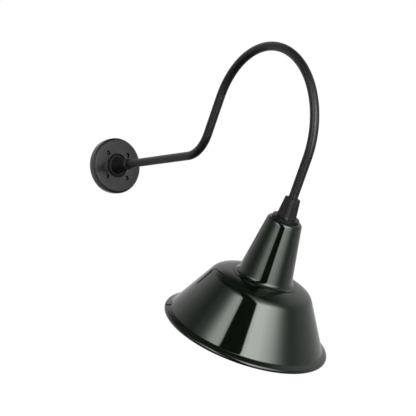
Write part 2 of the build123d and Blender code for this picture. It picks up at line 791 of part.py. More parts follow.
# Black glass insulator at the end of the cap.
with BuildPart() as lamp_insulator:
    with BuildSketch(shade_section):
        with BuildLine():
            Polyline((2.4, 163.9), (5.4, 164.1), (9.0, 166.0), (2.4, 166.0), close=True)
        make_face()
    revolve(axis=shade_axis)
lamp_insulator.part.label = "lamp_insulator"
export_step(lamp_insulator.part, "parts/lamp_insulator.step")

# Soldered tip of the lamp.
with BuildPart() as lamp_contact:
    with BuildSketch(shade_section):
        with BuildLine():
            Polyline((0, lamp_tip), (1.6, lamp_tip), (2.4, lamp_tip + 0.8), (2.4, 166.0), (0, 166.0), close=True)
        make_face()
    revolve(axis=shade_axis)
lamp_contact.part.label = "lamp_contact"
export_step(lamp_contact.part, "parts/lamp_contact.step")

tube_section = 3.14159265 * (arm_radius**2 - arm_bore**2)
print(f"arm tube: volume over section times length {arm_tube.part.volume / tube_section / arm_axis.length:.5f}")
print(f"arch end {arch_end}, axis {down}")
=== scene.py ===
from math import asin, atan2, ceil, cos, degrees, hypot, pi, radians, sin, tan, tau

import bmesh
import bpy
from mathutils import Matrix, Vector


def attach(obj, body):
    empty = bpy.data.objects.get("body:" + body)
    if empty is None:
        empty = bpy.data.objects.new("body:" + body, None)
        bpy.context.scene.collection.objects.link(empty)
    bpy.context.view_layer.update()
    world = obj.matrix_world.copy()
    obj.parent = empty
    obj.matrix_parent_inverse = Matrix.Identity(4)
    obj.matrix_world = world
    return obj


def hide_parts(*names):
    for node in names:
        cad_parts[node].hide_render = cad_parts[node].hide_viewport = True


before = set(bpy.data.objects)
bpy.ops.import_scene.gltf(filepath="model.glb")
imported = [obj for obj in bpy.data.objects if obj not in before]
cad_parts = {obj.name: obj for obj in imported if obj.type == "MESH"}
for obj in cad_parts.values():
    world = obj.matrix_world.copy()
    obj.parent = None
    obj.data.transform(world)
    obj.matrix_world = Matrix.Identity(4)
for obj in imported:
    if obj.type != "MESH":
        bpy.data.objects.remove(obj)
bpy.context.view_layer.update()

# ---- Studio -------------------------------------------------------------------------------
# The lamp hangs in a white room between two tall soft lights, with a dark gap between them
# where the camera stands. The floor is far below and pale. Directions are in degrees:
# 0 is straight out from the wall, positive to the right of someone who faces the wall.
scene = bpy.context.scene
scene.view_settings.view_transform = "Standard"

camera = bpy.data.objects.new("camera", bpy.data.cameras.new("camera"))
scene.collection.objects.link(camera)
# The lens, the place and the turn of the camera give the photograph's view.
camera.data.sensor_width = 36.0
camera.data.lens = 130.415
camera.data.clip_end = 50.0
sight = Matrix(
    (
        (0.805927, -0.590752, 0.038646),
        (-0.085801, -0.051964, 0.994956),
        (-0.585764, -0.805178, -0.092566),
    )
).transposed()
camera_place = Vector((-1.92858, -3.04397, -0.42630))
camera.matrix_world = Matrix.LocRotScale(camera_place, sight.to_quaternion(), None)
scene.camera = camera


def place(tree, kind, **settings):
    """Puts a node into a tree. A setting is one of its inputs by name, or else a property."""
    made = tree.nodes.new("ShaderNode" + kind)
    for word, value in settings.items():
        socket = made.inputs.get(word.replace("_", " "))
        if socket is not None:
            socket.default_value = value
        else:
            setattr(made, word, value)
    return made


def sums(tree, operation, first, second=None):
    """A maths node whose inputs are sockets or plain numbers."""
    made = tree.nodes.new("ShaderNodeMath")
    made.operation = operation
    for slot, value in enumerate((first, second)):
        if value is None:
            continue
        if isinstance(value, (int, float)):
            made.inputs[slot].default_value = value
        else:
            tree.links.new(value, made.inputs[slot])
    return made.outputs[0]


def curve_of(tree, angle, stops):
    """A strength that follows (degrees, strength) stops along an angle in radians."""
    first, last = stops[0][0], stops[-1][0]
    most = max(strength for _, strength in stops)
    span = place(tree, "MapRange", From_Min=radians(first), From_Max=radians(last))
    tree.links.new(angle, span.inputs["Value"])
    ramp = place(tree, "ValToRGB")
    tree.links.new(span.outputs[0], ramp.inputs[0])
    marks = ramp.color_ramp.elements
    for count, (at, strength) in enumerate(stops):
        spot = (at - first) / (last - first)
        mark = marks[count] if count < 2 else marks.new(spot)
        mark.position = spot
        mark.color = (strength / most, strength / most, strength / most, 1)
    return sums(tree, "MULTIPLY", ramp.outputs["Color"], most)


world = bpy.data.worlds.new("white room")
scene.world = world
world.use_nodes = True
air = world.node_tree
air.nodes.clear()
toward = place(air, "SeparateXYZ")
air.links.new(place(air, "TexCoord").outputs["Generated"], toward.inputs[0])
swing = sums(air, "ARCTAN2", toward.outputs["X"], sums(air, "MULTIPLY", toward.outputs["Y"], -1))
height = sums(air, "ARCSINE", toward.outputs["Z"])
# Two factors for each light: its strength round the room, and its strength by height.
walls = curve_of(
    air, swing,
    [
        (-180, 0.76), (-160, 0.78), (-144, 0.62), (-130, 0.44), (-116, 0.29), (-106, 0.29), (-98, 0.45),
        (-58, 0.5), (-55.5, 0.02), (-29, 0.02), (-27, 0.5), (28, 0.58), (46, 0.5), (60, 0.66), (100, 0.7),
        (125, 0.6), (150, 0.72), (180, 0.76),
    ],
)
walls_up = curve_of(
    air, height,
    [
        (-90, 0.06), (-50, 0.1), (-35, 0.4), (-20, 1), (0, 1), (48, 1.07), (58, 0.44), (68, 0.1), (78, 0.14),
        (90, 0.11),
    ],
)
right_light = curve_of(
    air, swing,
    [
        (-29, 0), (-27.6, 7.4), (-22, 9.2), (-9, 9.1), (-3, 7.8), (3, 6.7), (9, 5.2), (15, 3.4), (21, 1.75),
        (28, 0.5), (36, 0),
    ],
)
right_up = curve_of(
    air, height,
    [
        (-70, 0), (-45, 0.15), (-28, 0.4), (-12, 0.75), (4, 1), (15, 1.11), (25, 0.73), (35, 0.35),
        (45, 0.136), (56, 0.096), (68, 0.057), (80, 0),
    ],
)
left_light = curve_of(
    air, swing,
    [
        (-108, 0), (-99, 0.12), (-93, 0.4), (-87, 1.15), (-81, 2.6), (-75, 4.5), (-69, 6.3), (-62, 6.6),
        (-57.5, 4.9), (-55.8, 0),
    ],
)
left_up = curve_of(
    air, height,
    [
        (-50, 0), (-30, 0.15), (-14, 0.36), (-4, 0.6), (12, 0.9), (22, 0.97), (30, 0.87), (36, 0.34),
        (46, 0.075), (56, 0.017), (66, 0),
    ],
)
right_side = sums(air, "MULTIPLY", right_light, right_up)
left_side = sums(air, "MULTIPLY", left_light, left_up)
both_lights = sums(air, "ADD", right_side, left_side)
studio = sums(air, "ADD", sums(air, "MULTIPLY", walls, walls_up), both_lights)
path = place(air, "LightPath")
# Mirrored rays see the room at full strength, scattered light sees this share of it.
scattered_share = 0.64
mirrored = sums(air, "MAXIMUM", path.outputs["Is Glossy Ray"], path.outputs["Is Transmission Ray"])
room = place(air, "Background")
air.links.new(studio, room.inputs["Color"])
mirror_extra = sums(air, "MULTIPLY", mirrored, 1 - scattered_share)
air.links.new(sums(air, "ADD", mirror_extra, scattered_share), room.inputs["Strength"])
backdrop = place(air, "Background", Color=(1, 1, 1, 1), Strength=1.0)
seen = place(air, "MixShader")
air.links.new(path.outputs["Is Camera Ray"], seen.inputs[0])
air.links.new(room.outputs[0], seen.inputs[1])
air.links.new(backdrop.outputs[0], seen.inputs[2])
air.links.new(seen.outputs[0], place(air, "OutputWorld").inputs[0])
world.cycles.sampling_method = "NONE"

floor_half_width, floor_height, floor_glow = 30.0, -1.25, 0.66
floor_corners = [
    (across * floor_half_width, out * floor_half_width, floor_height)
    for across, out in ((-1, -1), (1, -1), (1, 1), (-1, 1))
]
floor_mesh = bpy.data.meshes.new("floor")
floor_mesh.from_pydata(floor_corners, [], [(0, 1, 2, 3)])
floor = bpy.data.objects.new("floor", floor_mesh)
scene.collection.objects.link(floor)
floor_paint = bpy.data.materials.new("pale floor")
floor_paint.use_nodes = True
paint = floor_paint.node_tree
floor_shader = paint.nodes["Principled BSDF"]
floor_shader.inputs["Base Color"].default_value = (0.85, 0.85, 0.85, 1)
floor_shader.inputs["Roughness"].default_value = 0.9
floor_shader.inputs["Emission Color"].default_value = (1, 1, 1, 1)
by_camera = place(paint, "LightPath").outputs["Is Camera Ray"]
paint.links.new(sums(paint, "MULTIPLY", by_camera, floor_glow), floor_shader.inputs["Emission Strength"])
# Seen from underneath, the floor is clear.
floor_side = place(paint, "NewGeometry")
floor_clear = place(paint, "MixShader")
paint.links.new(sums(paint, "MULTIPLY", by_camera, floor_side.outputs["Backfacing"]), floor_clear.inputs[0])
paint.links.new(floor_shader.outputs[0], floor_clear.inputs[1])
paint.links.new(place(paint, "BsdfTransparent").outputs[0], floor_clear.inputs[2])
paint.links.new(floor_clear.outputs[0], paint.nodes["Material Output"].inputs[0])
floor_mesh.materials.append(floor_paint)
floor.visible_glossy = False

# ---- Mounting plate, welded nuts and earth screw -------------------------------------------
# The plate is pressed from 2 mm steel and zinc plated, and screws to the outlet box. Four
# hexagon nuts are welded to it for the canopy's screws. The earth screw is painted green.


def group_of(name, inputs, outputs):
    """An empty shader group with number inputs and outputs of the kinds given."""
    made = bpy.data.node_groups.new(name, "ShaderNodeTree")
    for word, usual in inputs.items():
        socket = made.interface.new_socket(word, in_out="INPUT", socket_type="NodeSocketFloat")
        socket.default_value = usual
    for word in outputs:
        made.interface.new_socket(word, in_out="OUTPUT", socket_type="NodeSocketFloat")
    return made, made.nodes.new("NodeGroupInput"), made.nodes.new("NodeGroupOutput")


# Grain: a fine bump of a given size and broad patches of another, both in millimetres.
grain_group, fed, given = group_of("grain", {"Size": 1.0, "Broad": 30.0}, ["Height", "Patches"])
where = place(grain_group, "TexCoord").outputs["Object"]
fine = place(grain_group, "TexNoise", Detail=3.0, Roughness=0.6)
broad = place(grain_group, "TexNoise", Detail=2.0, Roughness=0.5)
grain_group.links.new(where, fine.inputs["Vector"])
grain_group.links.new(where, broad.inputs["Vector"])
grain_group.links.new(sums(grain_group, "DIVIDE", 1000.0, fed.outputs["Size"]), fine.inputs["Scale"])
grain_group.links.new(sums(grain_group, "DIVIDE", 1000.0, fed.outputs["Broad"]), broad.inputs["Scale"])
grain_group.links.new(fine.outputs[0], given.inputs["Height"])
grain_group.links.new(broad.outputs[0], given.inputs["Patches"])

# Edge wear: a mask on corners and edges, as wide as the reach, broken up by a noise.
wear_group, fed, given = group_of("edge wear", {"Reach": 0.5, "Amount": 0.5}, ["Mask"])
soft = place(wear_group, "Bevel", samples=6)
wear_group.links.new(sums(wear_group, "MULTIPLY", fed.outputs["Reach"], 0.001), soft.inputs["Radius"])
likeness = place(wear_group, "VectorMath", operation="DOT_PRODUCT")
wear_group.links.new(soft.outputs[0], likeness.inputs[0])
wear_group.links.new(place(wear_group, "NewGeometry").outputs["Normal"], likeness.inputs[1])
nearly_flat, edge_contrast = 0.995, 7.0
bent = sums(wear_group, "SUBTRACT", nearly_flat, likeness.outputs["Value"])
edge = sums(wear_group, "MULTIPLY", bent, edge_contrast)
scuffs = place(wear_group, "TexNoise", Scale=420.0, Detail=4.0)
wear_group.links.new(place(wear_group, "TexCoord").outputs["Object"], scuffs.inputs["Vector"])
unscuffed, scuff_contrast = 0.35, 3.0
scuffed = sums(wear_group, "SUBTRACT", scuffs.outputs[0], unscuffed)
broken = sums(wear_group, "MULTIPLY", scuffed, scuff_contrast)
worn_edge = sums(wear_group, "MULTIPLY", edge, broken)
rubbed = place(wear_group, "Clamp")
wear_group.links.new(sums(wear_group, "MULTIPLY", worn_edge, fed.outputs["Amount"]), rubbed.inputs[0])
wear_group.links.new(rubbed.outputs[0], given.inputs["Mask"])

# Dust: a thin film on what faces up.
dust_group, fed, given = group_of("settled dust", {"Amount": 0.1}, ["Mask"])
facing = place(dust_group, "SeparateXYZ")
dust_group.links.new(place(dust_group, "NewGeometry").outputs["Normal"], facing.inputs[0])
motes = place(dust_group, "TexNoise", Scale=160.0, Detail=6.0, Roughness=0.7)
dust_group.links.new(place(dust_group, "TexCoord").outputs["Object"], motes.inputs["Vector"])
upward = sums(dust_group, "MAXIMUM", facing.outputs["Z"], 0.0)
settling = sums(dust_group, "MULTIPLY", upward, motes.outputs[0])
film = place(dust_group, "Clamp")
dust_group.links.new(sums(dust_group, "MULTIPLY", settling, fed.outputs["Amount"]), film.inputs[0])
dust_group.links.new(film.outputs[0], given.inputs["Mask"])


# The colour inputs and the colour output of a Mix node.
first_colour, second_colour, mixed_colour = 6, 7, 2
dust_colour = (0.32, 0.31, 0.29, 1)


def finish(
    name, colour, roughness, metallic=0.0, grain=0.6, depth=0.004, broad=25.0, mottle=0.12,
    gloss_change=0.05, worn=None, wear=0.0, reach=0.5, dust=0.0, **fixed
):
    """A material. Its grain, depth of grain, broad patches and reach of wear are in millimetres.

    The colour varies by the share mottle and the roughness by gloss_change. Edges show the worn
    colour where there is wear. Fixed values go on the shader's own sockets.
    """
    made = bpy.data.materials.new(name)
    made.use_nodes = True
    tree = made.node_tree
    shader = tree.nodes["Principled BSDF"]
    shader.inputs["Metallic"].default_value = metallic
    for word, value in fixed.items():
        shader.inputs[word.replace("_", " ")].default_value = value
    grains = place(tree, "Group", node_tree=grain_group)
    grains.inputs["Size"].default_value = grain
    grains.inputs["Broad"].default_value = broad
    tone = place(tree, "Mix", data_type="RGBA")
    tone.inputs[first_colour].default_value = (*[c * (1 - mottle) for c in colour], 1)
    tone.inputs[second_colour].default_value = (*[min(1, c * (1 + mottle)) for c in colour], 1)
    tree.links.new(grains.outputs["Patches"], tone.inputs[0])
    shade = tone.outputs[mixed_colour]
    if wear:
        rubbing = place(tree, "Group", node_tree=wear_group)
        rubbing.inputs["Reach"].default_value = reach
        rubbing.inputs["Amount"].default_value = wear
        bare = place(tree, "Mix", data_type="RGBA")
        bare.inputs[second_colour].default_value = (*worn, 1)
        tree.links.new(rubbing.outputs["Mask"], bare.inputs[0])
        tree.links.new(shade, bare.inputs[first_colour])
        shade = bare.outputs[mixed_colour]
    if dust:
        settled = place(tree, "Group", node_tree=dust_group)
        settled.inputs["Amount"].default_value = dust
        powder = place(tree, "Mix", data_type="RGBA")
        powder.inputs[second_colour].default_value = dust_colour
        tree.links.new(settled.outputs["Mask"], powder.inputs[0])
        tree.links.new(shade, powder.inputs[first_colour])
        shade = powder.outputs[mixed_colour]
    tree.links.new(shade, shader.inputs["Base Color"])
    polish = place(tree, "MapRange", To_Min=roughness - gloss_change, To_Max=roughness + gloss_change)
    tree.links.new(grains.outputs["Patches"], polish.inputs["Value"])
    tree.links.new(polish.outputs[0], shader.inputs["Roughness"])
    bump = place(tree, "Bump", Distance=depth * 0.001)
    tree.links.new(grains.outputs["Height"], bump.inputs["Height"])
    tree.links.new(bump.outputs[0], shader.inputs["Normal"])
    return made


def soften(mesh, corner):
    """Smooth shading, with edges sharper than the corner angle kept crisp."""
    mesh.shade_smooth()
    mesh.set_sharp_from_angle(angle=radians(corner))


def dress(node, material, corner=32):
    """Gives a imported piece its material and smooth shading."""
    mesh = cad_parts[node].data
    mesh.materials.clear()
    mesh.materials.append(material)
    soften(mesh, corner)


zinc = finish(
    "zinc plate", (0.56, 0.57, 0.58), 0.38, metallic=1.0, grain=0.9, depth=0.006, broad=14, mottle=0.16,
    gloss_change=0.09, worn=(0.30, 0.28, 0.26), wear=0.5,
)
earth_green = finish(
    "green screw paint", (0.03, 0.22, 0.07), 0.42, grain=0.4, depth=0.004, worn=(0.45, 0.44, 0.40),
    wear=0.9, reach=0.3,
)
dress("mounting_plate", zinc)
dress("weld_nuts", zinc, 25)
dress("earth_screw", earth_green, 25)

# ---- Wall gasket ---------------------------------------------------------------------------
# A ring of closed-cell foam rubber that the canopy presses against the wall. Its cut face
# shows the open cells.
foam = finish(
    "cell foam", (0.022, 0.022, 0.023), 0.85, grain=0.7, depth=0.12, broad=9, mottle=0.35,
    gloss_change=0.08, dust=0.25,
)
dress("wall_gasket", foam)

# ---- Wall canopy ---------------------------------------------------------------------------
# A cast aluminium cup under a black powder coat, glossy on its face. The bevelled edge takes a
# duller, darker copy of the coat, painted shade on the edge, and the groove round the hub's seat and
# the four recesses for the screws are painted darker still, painted shade in the hollows.
# Each recess has a softened lip.
mm = 0.001
wall_out = Vector((0, -1, 0))


def rounded(corners, step=8.0):
    """Points of an outline from (radius, along, fillet) corners, with an arc at each fillet."""
    points = []
    for count, (radius, along, fillet) in enumerate(corners):
        corner = Vector((radius, along))
        if not fillet:
            points.append(corner)
            continue
        before = (Vector(corners[count - 1][:2]) - corner).normalized()
        after = (Vector(corners[(count + 1) % len(corners)][:2]) - corner).normalized()
        half = before.angle(after) / 2
        centre = corner + (before + after).normalized() * fillet / sin(half)
        first = corner + before * fillet / tan(half) - centre
        last = corner + after * fillet / tan(half) - centre
        sweep = atan2(first.cross(last), first.dot(last))
        start = atan2(first.y, first.x)
        parts = max(2, ceil(degrees(abs(sweep)) / step))
        for part in range(parts + 1):
            angle = start + sweep * part / parts
            points.append(centre + Vector((cos(angle), sin(angle))) * fillet)
    return points


def turned(name, outline, origin, along, around, ripple=None, inside=None):
    """A mesh from a closed (radius, along) outline in millimetres, turned round an axis.

    ripple(radius, distance, turn) may change a radius. Faces from the point numbered inside on
    take the second material.
    """
    side = Vector((1, 0, 0))
    other = along.cross(side)
    mesh = bpy.data.meshes.new(name)
    points = []
    for count in range(around):
        turn = tau * count / around
        out = side * cos(turn) + other * sin(turn)
        for radius, distance in outline:
            reach = ripple(radius, distance, turn) if ripple else radius
            points.append(origin + (along * distance + out * reach) * mm)
    size = len(outline)
    faces = []
    kinds = []
    for count in range(around):
        here, there = count * size, (count + 1) % around * size
        for spot in range(size):
            after = (spot + 1) % size
            faces.append((here + spot, there + spot, there + after, here + after))
            kinds.append(1 if inside is not None and spot >= inside else 0)
    mesh.from_pydata(points, [], faces)
    mesh.polygons.foreach_set("material_index", kinds)
    return settle(mesh)


def settle(mesh):
    """Merges doubled points, drops empty faces and turns every face outwards."""
    shape = bmesh.new()
    shape.from_mesh(mesh)
    bmesh.ops.remove_doubles(shape, verts=shape.verts, dist=1e-6)
    bmesh.ops.dissolve_degenerate(shape, edges=shape.edges, dist=1e-7)
    bmesh.ops.recalc_face_normals(shape, faces=shape.faces)
    shape.to_mesh(mesh)
    shape.free()
    return mesh


def fit(name, mesh, body, slot, nodes, *materials, corner):
    """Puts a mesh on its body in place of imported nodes, with its materials."""
    for material in materials:
        mesh.materials.append(material)
    soften(mesh, corner)
    piece = bpy.data.objects.new(name, mesh)
    scene.collection.objects.link(piece)
    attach(piece, body)
    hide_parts(*nodes)


def cut(mesh, tools, operation="DIFFERENCE"):
    """The mesh with every tool mesh taken away from it, or joined to it with UNION."""
    block = bpy.data.objects.new("block", mesh)
    scene.collection.objects.link(block)
    for tool in tools:
        cutter = bpy.data.objects.new("cutter", tool)
        scene.collection.objects.link(cutter)
        bite = block.modifiers.new("bite", "BOOLEAN")
        bite.operation = operation
        bite.solver = "EXACT"
        bite.object = cutter
        bpy.context.view_layer.update()
        bitten = block.evaluated_get(bpy.context.evaluated_depsgraph_get())
        shaped = bpy.data.meshes.new_from_object(bitten)
        block.modifiers.clear()
        block.data = shaped
        bpy.data.objects.remove(cutter)
    made = block.data
    bpy.data.objects.remove(block)
    return made


canopy_coat = finish(
    "powder coat on the canopy", (0.0050, 0.0050, 0.0053), 0.18, grain=1.1, depth=0.002, broad=16,
    mottle=0.2, gloss_change=0.015, worn=(0.022, 0.022, 0.022), wear=0.2, reach=0.8, dust=0.03,
    Specular_IOR_Level=0.72,
)
# A darker, duller copy of the coat on the bevelled edge: painted shade along the edge.
bevel_shade_coat = finish(
    "bevel coat darkened as painted shade", (0.0042, 0.0042, 0.0044), 0.36, grain=1.1, depth=0.006, broad=12, mottle=0.2,
    gloss_change=0.03, worn=(0.022, 0.022, 0.022), wear=0.2, reach=0.8, dust=0.02, Specular_IOR_Level=0.4,
)
# Darker still and nearly without shine in the groove round the hub's seat and in the screw recesses: painted
# shade in the hollows.
recess_shade_coat = finish(
    "recess coat darkened as painted shade", (0.0027, 0.0027, 0.0028), 0.5, grain=0.9, depth=0.01, broad=8, mottle=0.3,
    gloss_change=0.08, worn=(0.012, 0.012, 0.012), wear=0.2, reach=0.4, Specular_IOR_Level=0.15,
)
seat_groove, screw_recess = (24.3, 28.4), 5.5
front, bevel_in, bevel_back, rim = 19.2, 61.0, 14.9, 66.3
canopy_outline = rounded(
    [
        (16.0, 16.4, 0.3), (seat_groove[0], 16.4, 0.3), (seat_groove[0], 13.4, 0.3),
        (seat_groove[1], 13.4, 0.5), (seat_groove[1], front, 0.8), (bevel_in, front, 0.6),
        (rim, bevel_back, 0.6), (rim, 1.5, 0.5), (62.8, 1.5, 0.3), (62.8, 15.7, 1.5), (31.0, 15.7, 0.8),
        (31.0, 11.4, 0.5), (16.0, 11.4, 0.3),
    ]
)
boss_outline = rounded([(0.01, 9.0, 0), (7.5, 9.0, 0.6), (7.5, 17.0, 0), (0.01, 17.0, 0)], 15)
recess_outline = rounded(
    [
        (0.01, 8.0, 0), (2.3, 8.0, 0), (2.3, 12.9, 0), (screw_recess, 12.9, 0.4), (screw_recess, 19.0, 0.5),
        (6.1, 19.35, 0.3), (6.4, 23.0, 0), (0.01, 23.0, 0),
    ],
    15,
)
screw_offset = 27.5 * mm
screw_places = [Vector((across * screw_offset, 0, up * screw_offset)) for across in (-1, 1) for up in (-1, 1)]
bosses = [turned("boss", boss_outline, spot, wall_out, 48) for spot in screw_places]
recesses = [turned("recess", recess_outline, spot, wall_out, 40) for spot in screw_places]
canopy_mesh = cut(turned("canopy_cup", canopy_outline, Vector(), wall_out, 180), bosses, "UNION")
canopy_mesh = cut(canopy_mesh, recesses)
canopy_mesh.name = "canopy_cup"
canopy_mesh.materials.clear()
# Faces sunk into the groove and the recesses take the darkened coat, painted shade; faces on the bevel take
# the darker, duller copy, painted shade on the edge.
for face in canopy_mesh.polygons:
    middle = face.center / mm
    from_axis = hypot(middle.x, middle.z)
    from_screw = min(hypot(middle.x - spot.x / mm, middle.z - spot.z / mm) for spot in screw_places)
    in_groove = seat_groove[0] - 0.1 < from_axis < seat_groove[1] + 0.2
    shaded_sunk = -middle.y < front - 0.3 and (in_groove or from_screw < screw_recess + 0.2)
    shaded_bevel = -middle.y > bevel_back and from_axis > bevel_in
    face.material_index = 1 if shaded_sunk else 2 if shaded_bevel else 0
fit(
    "canopy_cup", canopy_mesh, "wall_canopy", "coated_casting", ["canopy"], canopy_coat, recess_shade_coat,
    bevel_shade_coat, corner=30,
)

# ---- Canopy screws -------------------------------------------------------------------------
# Four pan-head screws with a cross recess, blackened and then touched up with the canopy,
# so bare metal shows only where the driver has been.
screw_black = finish(
    "blackened screw", (0.02, 0.02, 0.021), 0.4, metallic=0.3, grain=0.5, depth=0.01, broad=5, mottle=0.3,
    gloss_change=0.08, worn=(0.16, 0.155, 0.15), wear=0.5, reach=0.2,
)
dress("canopy_screws", screw_black, 28)

# ---- Washers and nut of the hub -------------------------------------------------------------
# The hub's flange turns on a ring of red vulcanised fibre. Behind the canopy a spring washer
# and a thin hexagon nut keep it stiff.
fibre = finish("vulcanised fibre", (0.24, 0.055, 0.03), 0.6, grain=0.35, depth=0.02, broad=6, mottle=0.3)
dress("hub_washer", fibre)
dress("spring_washer", zinc)
dress("hub_nut", zinc, 25)

# ---- Hub and lock collar ---------------------------------------------------------------------
# The hub is a turned and coated casting: a thin flange in the canopy's seat, then a tapered
# nose. The collar sits against the nose and has a turned groove at each end.
# The hub, the collar and the fitter's flange take a darker copy of the powder coat, with less shine: painted
# shade on the hub and collar near the wall, and on the flange.
shade_dark_coat = finish(
    "hub coat darkened as painted shade", (0.0030, 0.0030, 0.0032), 0.34, grain=1.0, depth=0.006, broad=12, mottle=0.25,
    gloss_change=0.05, worn=(0.014, 0.014, 0.014), wear=0.25, reach=0.6, dust=0.02, Specular_IOR_Level=0.2,
)
socket, hub_back, nose_end = 9.75, 5.6, 54.0
hub_outline = rounded(
    [
        (socket, hub_back, 0), (15.92, hub_back, 0.4), (15.92, 17.5, 0), (24.0, 17.5, 0.4), (24.0, 21.4, 0.5),
        (20.4, 21.4, 0.6), (13.6, nose_end, 0.2), (socket, nose_end, 0),
    ]
)
grub_hole = turned(
    "grub_hole", [(0.01, 12.0), (2.5, 12.0), (2.5, 17.3), (3.4, 18.9), (3.4, 23.0), (0.01, 23.0)],
    Vector((0, -0.033, 0)), Vector((0, 0, -1)), 32,
)
hub_mesh = cut(turned("hub_casting", hub_outline, Vector(), wall_out, 120), [grub_hole])
hub_mesh.materials.clear()
fit("hub_casting", hub_mesh, "arm_and_shade", "coated_casting", ["hub"], shade_dark_coat, corner=30)
dress("hub_set_screw", screw_black, 25)

collar_outline = rounded(
    [
        (socket, nose_end, 0), (12.0, nose_end, 0.1), (12.0, 56.8, 0.2), (13.3, 57.4, 0.3), (13.3, 67.2, 0.3),
        (12.0, 67.8, 0.2), (12.0, 70.0, 0.1), (12.6, 70.3, 0.1), (12.0, 71.4, 0.3), (socket, 71.4, 0.3),
    ],
    20,
)
fit(
    "lock_collar", turned("lock_collar", collar_outline, Vector(), wall_out, 120), "arm_and_shade",
    "coated_casting", ["arm_lock_collar"], shade_dark_coat, corner=30,
)

# ---- Gooseneck arm ---------------------------------------------------------------------------
# One length of three-quarter-inch steel tube, bent cold on two formers and powder coated. It
# runs straight out, bends up, arches over and comes straight down into the fitter.
tube_coat = finish(
    "powder coat on tube", (0.0054, 0.0054, 0.0057), 0.35, grain=0.9, depth=0.003, broad=40, mottle=0.12,
    gloss_change=0.03, worn=(0.022, 0.022, 0.022), wear=0.2, reach=0.6, dust=0.03, Specular_IOR_Level=0.33,
)
tube_outer, tube_inner = 9.65, 8.05
run, bend_radius, bend, rise = 310.0, 81.1, radians(61.8), 88.2
arch_radius, arch, drop = 170.8, radians(179.4), 112.0
route = [(hub_back, 0.0, 0.0), (run, 0.0, 0.0)]
for count in range(1, 33):
    angle = bend * count / 32
    route.append((run + bend_radius * sin(angle), bend_radius * (1 - cos(angle)), angle))
foot_h = run + bend_radius * sin(bend) + rise * cos(bend)
foot_z = bend_radius * (1 - cos(bend)) + rise * sin(bend)
route.append((foot_h, foot_z, bend))
middle_h = foot_h + arch_radius * sin(bend)
middle_z = foot_z - arch_radius * cos(bend)
for count in range(1, 97):
    angle = bend - arch * count / 96
    route.append((middle_h - arch_radius * sin(angle), middle_z + arch_radius * cos(angle), angle))
end_h, end_z, end_heading = route[-1]
arch_end = Vector((0, -end_h, end_z)) * mm
down = Vector((0, -cos(end_heading), sin(end_heading)))
route.append((end_h + drop * cos(end_heading), end_z + drop * sin(end_heading), end_heading))


def tube(name, route, outer, inner, around=72):
    """A hollow tube along (h, z, heading) stations in the plane X = 0, in millimetres."""
    side = Vector((1, 0, 0))
    rings = []
    for radius, stations in ((outer, route), (inner, route[::-1])):
        for h, z, heading in stations:
            normal = Vector((0, sin(heading), cos(heading)))
            centre = Vector((0, -h, z))
            ring = []
            for k in range(around):
                turn = tau * k / around
                ring.append((centre + (side * sin(turn) + normal * cos(turn)) * radius) * mm)
            rings.append(ring)
    faces = []
    for count in range(len(rings)):
        here, there = count * around, (count + 1) % len(rings) * around
        for k in range(around):
            after = (k + 1) % around
            faces.append((here + k, here + after, there + after, there + k))
    mesh = bpy.data.meshes.new(name)
    mesh.from_pydata([point for ring in rings for point in ring], [], faces)
    return settle(mesh)


fit(
    "gooseneck", tube("gooseneck", route, tube_outer, tube_inner), "arm_and_shade", "coated_tube",
    ["arm_tube"], tube_coat, corner=40,
)
nylon = finish("moulded nylon", (0.02, 0.02, 0.02), 0.45, grain=0.5, depth=0.006, broad=8, mottle=0.2)
dress("arm_bushing", nylon)

# ---- Wires -----------------------------------------------------------------------------------
# Three insulated wires run through the tube from the outlet box to the lampholder and the
# earth lug. Their stripped copper ends wait behind the canopy.
black_sleeve = finish("black sleeve", (0.018, 0.018, 0.018), 0.35, grain=0.8, depth=0.01, broad=6, mottle=0.2)
white_sleeve = finish("white sleeve", (0.72, 0.71, 0.67), 0.38, grain=0.8, depth=0.01, broad=6, mottle=0.05)
green_sleeve = finish("green sleeve", (0.03, 0.24, 0.07), 0.36, grain=0.8, depth=0.01, broad=6, mottle=0.12)
bare_copper = finish(
    "bare copper", (0.80, 0.38, 0.22), 0.28, metallic=1.0, grain=0.3, depth=0.012, broad=3, mottle=0.25,
    gloss_change=0.08,
)
dress("wire_black", black_sleeve)
dress("wire_white", white_sleeve)
dress("wire_green", green_sleeve)
dress("wire_ends", bare_copper)

# ---- Lamp fitter -----------------------------------------------------------------------------
# A coated casting on the end of the arm: a four-sided taper with broad corners that swells
# into a round flange. Its hollow spigot goes through the shade, and a notched ring nut
# clamps the neck from below. The draught of the mould shows as slightly soft edges.
across, inward = Vector((1, 0, 0)), down.cross(Vector((1, 0, 0)))
fitter_turn = radians(-7.0)


def four_sided(side, corner, soften_by, steps=4):
    """A square with cut corners, each of the eight angles rounded, as (x, y) points."""
    half = side / 2
    cut_off = half - corner
    loop = [
        (half, -cut_off), (half, cut_off), (cut_off, half), (-cut_off, half),
        (-half, cut_off), (-half, -cut_off), (-cut_off, -half), (cut_off, -half),
    ]
    points = []
    for count, (x, y) in enumerate(loop):
        here = Vector((x, y))
        before = (Vector(loop[count - 1]) - here).normalized()
        after = (Vector(loop[(count + 1) % 8]) - here).normalized()
        for step in range(steps + 1):
            part = step / steps
            points.append(here + before * soften_by * (1 - part) ** 2 + after * soften_by * part**2)
    return points


fitter_top, fitter_foot, top_side, foot_side = 87.2, 129.0, 25.9, 33.4
taper = (foot_side - top_side) / (fitter_foot - fitter_top)
